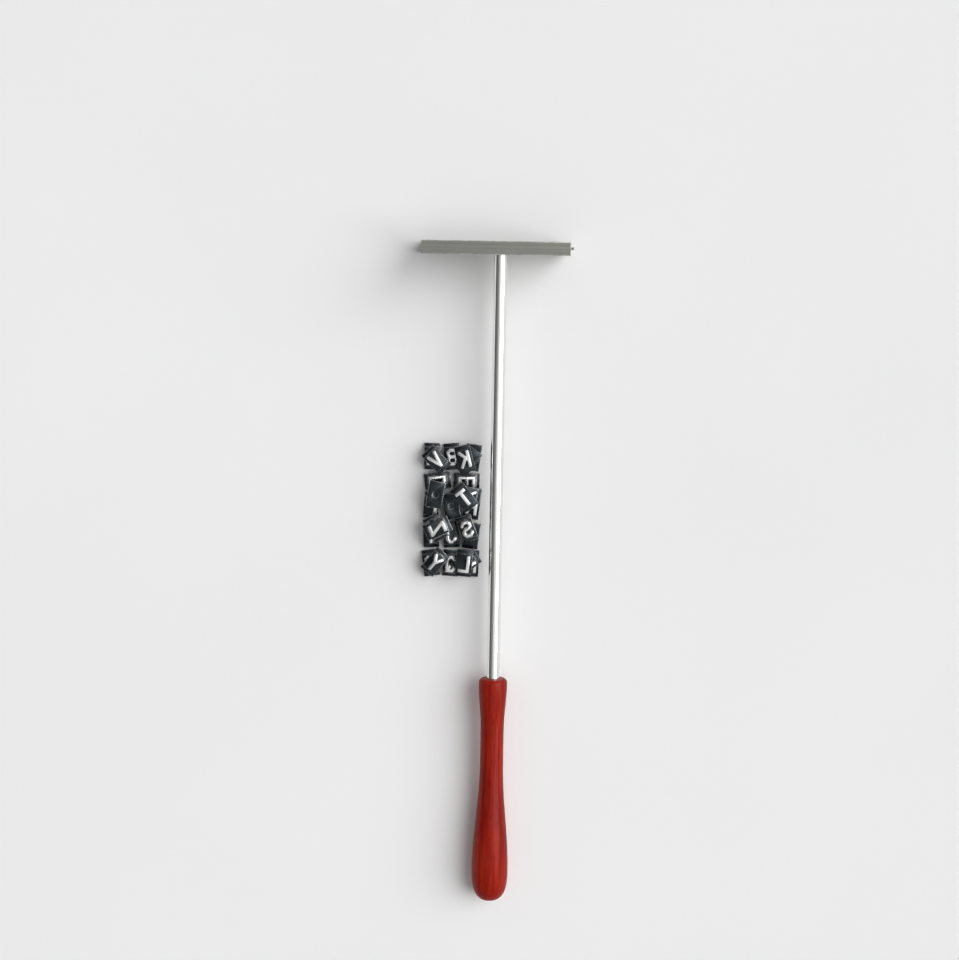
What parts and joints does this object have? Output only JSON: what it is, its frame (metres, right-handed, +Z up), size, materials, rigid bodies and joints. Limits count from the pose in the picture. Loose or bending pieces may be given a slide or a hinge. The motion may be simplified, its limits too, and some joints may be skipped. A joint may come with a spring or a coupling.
{
  "type": "branding iron",
  "caption": "T-shaped branding iron: a cast head with two undercut channels for changeable letter tiles, a steel rod, a turned wooden handle, a retaining wire and a set of loose letters.",
  "frame": {"origin": "on the table under the middle of the whole part's box", "axes": "+Y along the rod towards the head's face, +X along the rows of letters towards the retaining wire, +Z up from the table; the rod rises towards the head by about 1.6 degrees"},
  "size_m": [0.0918, 0.4156, 0.0442],
  "materials": {
    "head_metal": "satin die-cast grey",
    "rod_steel": "bright drawn and plated",
    "handle_wood": "red-brown stain under gloss lacquer",
    "screw_steel": "zinc plated",
    "spring_wire": "bright spring wire",
    "letter_metal": "dark gunmetal casting with polished letter tops"
  },
  "bodies": {
    "iron": {"head": "head_metal", "rod": "rod_steel", "handle": "handle_wood", "head_screw": "screw_steel"},
    "retaining_wire": {"retaining_wire": "spring_wire"},
    "upper_row": {"upper_spacer_1": "letter_metal", "upper_spacer_2": "letter_metal", "upper_spacer_3": "letter_metal", "upper_spacer_4": "letter_metal"},
    "lower_row": {"lower_spacer_1": "letter_metal", "lower_spacer_2": "letter_metal", "lower_spacer_3": "letter_metal", "lower_spacer_4": "letter_metal"},
    "letter_set": {"letter_a": "letter_metal", "letter_b": "letter_metal", "letter_c": "letter_metal", "letter_d": "letter_metal", "letter_e": "letter_metal", "letter_f": "letter_metal", "letter_g": "letter_metal", "letter_h": "letter_metal", "letter_i": "letter_metal", "letter_j": "letter_metal", "letter_k": "letter_metal", "letter_l": "letter_metal", "letter_m": "letter_metal", "letter_n": "letter_metal", "letter_o": "letter_metal", "letter_p": "letter_metal", "letter_q": "letter_metal", "letter_r": "letter_metal", "letter_s": "letter_metal", "letter_t": "letter_metal", "letter_u": "letter_metal", "letter_v": "letter_metal", "letter_w": "letter_metal", "letter_x": "letter_metal", "letter_y": "letter_metal", "letter_z": "letter_metal"}
  },
  "joints": [
    {"name": "wire_swing", "type": "hinge", "parent": "iron", "child": "retaining_wire", "pos_m": [0.02833, 0.2038, 0.02211], "axis": [0, -0.0273, 0.9996], "range_deg": [-100, 100]},
    {"name": "upper_row_slide", "type": "slide", "parent": "iron", "child": "upper_row", "axis": [1, 0, 0], "range_m": [0, 0.0301]},
    {"name": "lower_row_slide", "type": "slide", "parent": "iron", "child": "lower_row", "axis": [1, 0, 0], "range_m": [0, 0.0301]},
    {"name": "letters_lift", "type": "slide", "parent": "iron", "child": "letter_set", "axis": [0, 0, 1], "range_m": [0, 0.06]}
  ]
}
